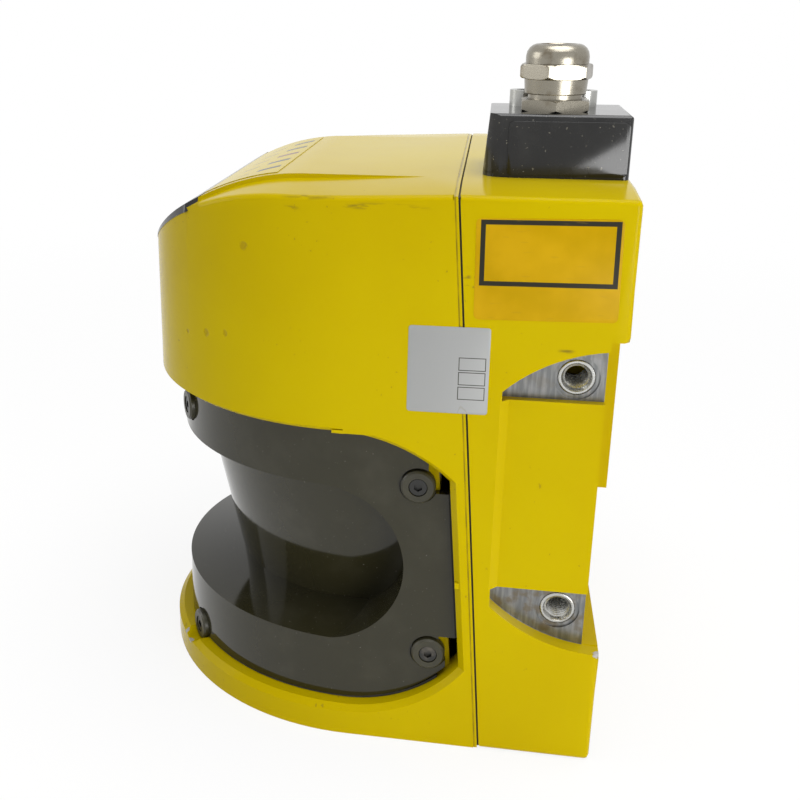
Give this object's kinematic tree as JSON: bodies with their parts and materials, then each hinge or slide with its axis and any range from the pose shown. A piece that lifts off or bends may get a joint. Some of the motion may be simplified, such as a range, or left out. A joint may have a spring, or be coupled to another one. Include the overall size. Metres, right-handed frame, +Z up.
{
  "type": "safety laser scanner",
  "caption": "Box-backed safety scanner with a half-round hood, a dark wrap-round optics cover with a deep view groove, a turning mirror inside and a cable gland on top.",
  "frame": {"origin": "on the base plane, under the scan axis of the turning mirror", "axes": "+Z up along the scan axis, -Y towards the nose of the hood, +Y towards the rear mounting face, +X towards the side with the plug"},
  "size_m": [0.155, 0.16, 0.2238],
  "materials": {
    "yellow_paint": "glossy signal-yellow powder coat",
    "dark_cover": "glossy dark olive-grey moulding",
    "black_plastic": "glossy black",
    "grey_plastic": "matt dark grey",
    "panel_foil": "printed yellow foil",
    "rubber": "matt black",
    "steel": "zinc-plated",
    "black_steel": "black oxide",
    "nickel": "nickel-plated",
    "bare_aluminium": "machined",
    "copper": "enamelled windings",
    "magnet": "matt",
    "circuit_board": "green solder mask",
    "lens_glass": "polished",
    "mirror_glass": "front-silvered"
  },
  "bodies": {
    "root": {"sensor_housing": "yellow_paint", "interface_housing": "yellow_paint", "module_gasket": "rubber", "module_screws": "steel", "optics_cover": "dark_cover", "cover_gasket": "rubber", "cover_collars": "dark_cover", "cover_screws": "black_steel", "display_window": "black_plastic", "status_panel": "panel_foil", "display_board": "circuit_board", "plug_housing": "black_plastic", "plug_gasket": "rubber", "plug_screws": "steel", "plug_connector": "grey_plastic", "header_connector": "grey_plastic", "gland_body": "nickel", "gland_nut": "nickel", "gland_seal": "rubber", "gland_o_ring": "rubber", "gland_locknut": "nickel", "side_inserts": "steel", "rear_inserts": "steel", "main_board": "circuit_board", "interface_board": "circuit_board", "motor_bracket": "bare_aluminium", "motor_bearings": "steel", "motor_stator": "copper", "encoder_sensor": "grey_plastic", "lens_holder": "grey_plastic", "receiver_lens": "lens_glass", "laser_module": "steel", "receiver_board": "circuit_board", "board_standoffs": "nickel", "light_detector": "steel", "window_sensors": "grey_plastic"},
    "mirror_rotor": {"motor_shaft": "steel", "rotor_bell": "bare_aluminium", "rotor_magnet": "magnet", "encoder_disc": "steel", "mirror_carrier": "bare_aluminium", "scan_mirror": "mirror_glass"}
  },
  "joints": [
    {"name": "mirror_spin", "type": "hinge", "parent": "root", "child": "mirror_rotor", "pos_m": [0, 0, 0], "axis": [0, 0, 1], "continuous": true}
  ]
}
